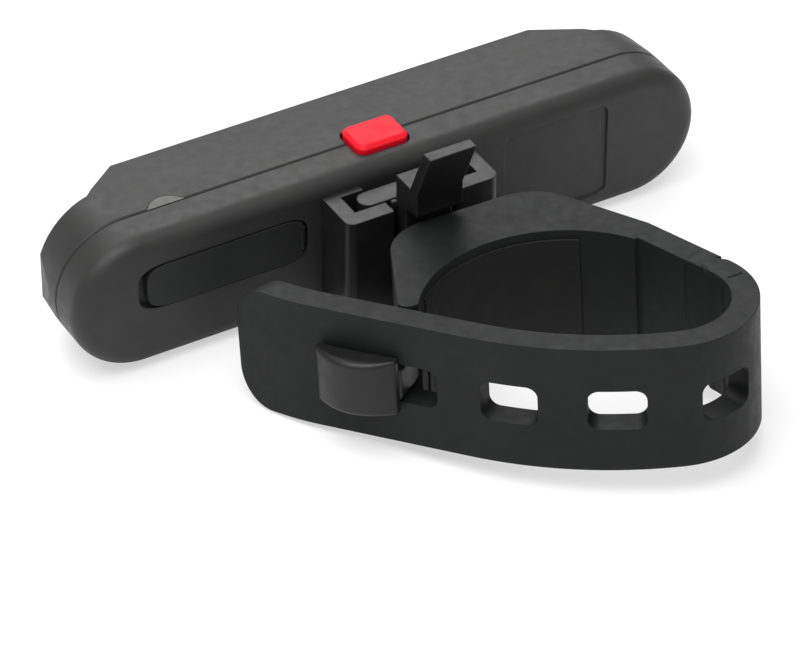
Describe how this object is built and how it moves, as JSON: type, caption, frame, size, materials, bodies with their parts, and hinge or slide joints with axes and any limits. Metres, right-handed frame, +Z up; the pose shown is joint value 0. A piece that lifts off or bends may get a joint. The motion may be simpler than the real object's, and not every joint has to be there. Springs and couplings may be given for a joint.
{
  "type": "bicycle rear light with a rubber seatpost strap",
  "caption": "Long rear light with a red lens and mode button, on a quick-release slide bracket whose rubber strap hooks round a seatpost.",
  "frame": {"origin": "On the seatpost's axis where the saddle holds it, halfway up the strap", "axes": "+X along the light to the charging port's end, -Y the way the lens shines, +Z up, with the strap's axis leaning 6 degrees from +Z towards -Y"},
  "size_m": [0.092, 0.0765, 0.0283],
  "materials": {
    "casing_black": "fine matt moulded black",
    "dock_black": "satin black nylon",
    "hook_black": "satin black nylon",
    "strap_rubber": "matt black silicone rubber",
    "pad_rubber": "matt grip rubber",
    "button_red": "smooth red silicone",
    "cover_rubber": "matt black silicone",
    "seal_rubber": "black silicone cord",
    "lens_red": "clear red polycarbonate",
    "window_smoke": "smoke grey polycarbonate",
    "diffuser_white": "frosted white",
    "reflector_white": "glossy white",
    "led_amber": "clear resin over a phosphor",
    "board_green": "green solder mask",
    "cell_foil": "laminated foil pouch",
    "foam_grey": "soft foam tape",
    "wire_red": "insulated wire",
    "port_steel": "drawn steel shell",
    "switch_black": "moulded black",
    "screw_steel": "zinc-plated steel"
  },
  "bodies": {
    "bracket": {"bracket_slider": "dock_black", "bracket_screw": "screw_steel", "hook_frame": "hook_black", "strap_saddle": "strap_rubber", "saddle_pad": "pad_rubber"},
    "light_unit": {"front_casing": "casing_black", "front_lens": "lens_red", "diffuser": "diffuser_white", "reflector": "reflector_white", "leds": "led_amber", "led_board": "board_green", "battery": "cell_foil", "battery_pad": "foam_grey", "battery_leads": "wire_red", "main_board": "board_green", "board_screws": "screw_steel", "usb_port": "port_steel", "tact_switch": "switch_black", "indicator_led": "led_amber", "indicator_window": "window_smoke", "casing_seal": "seal_rubber", "rear_casing": "casing_black", "dock_receiver": "dock_black", "receiver_screws": "screw_steel"},
    "mode_button": {"mode_button": "button_red"},
    "port_cover": {"port_cover": "cover_rubber"},
    "release_lever": {"release_lever": "dock_black"},
    "strap": {"strap_band": "strap_rubber"}
  },
  "joints": [
    {"name": "dock_slide", "type": "slide", "parent": "bracket", "child": "light_unit", "axis": [0, 0, 1], "range_m": [0, 0.018]},
    {"name": "button_press", "type": "slide", "parent": "light_unit", "child": "mode_button", "axis": [0, 0, -1], "range_m": [0, 0.0005], "stiffness_N_per_m": 2000},
    {"name": "cover_flap", "type": "hinge", "parent": "light_unit", "child": "port_cover", "pos_m": [0.01585, -0.03799, 0.00033], "axis": [0, 0, 1], "range_deg": [0, 30], "stiffness_Nm_per_rad": 0.002},
    {"name": "lever_release", "type": "hinge", "parent": "bracket", "child": "release_lever", "pos_m": [0.002, -0.03074, -0.00037], "axis": [-1, 0, 0], "range_deg": [0, 7], "stiffness_Nm_per_rad": 0.15},
    {"name": "strap_unhook", "type": "hinge", "parent": "bracket", "child": "strap", "pos_m": [-0.02087, 0.00351, 0.00037], "axis": [0, -0.1045, 0.9945], "range_deg": [0, 70], "stiffness_Nm_per_rad": 0.01}
  ]
}
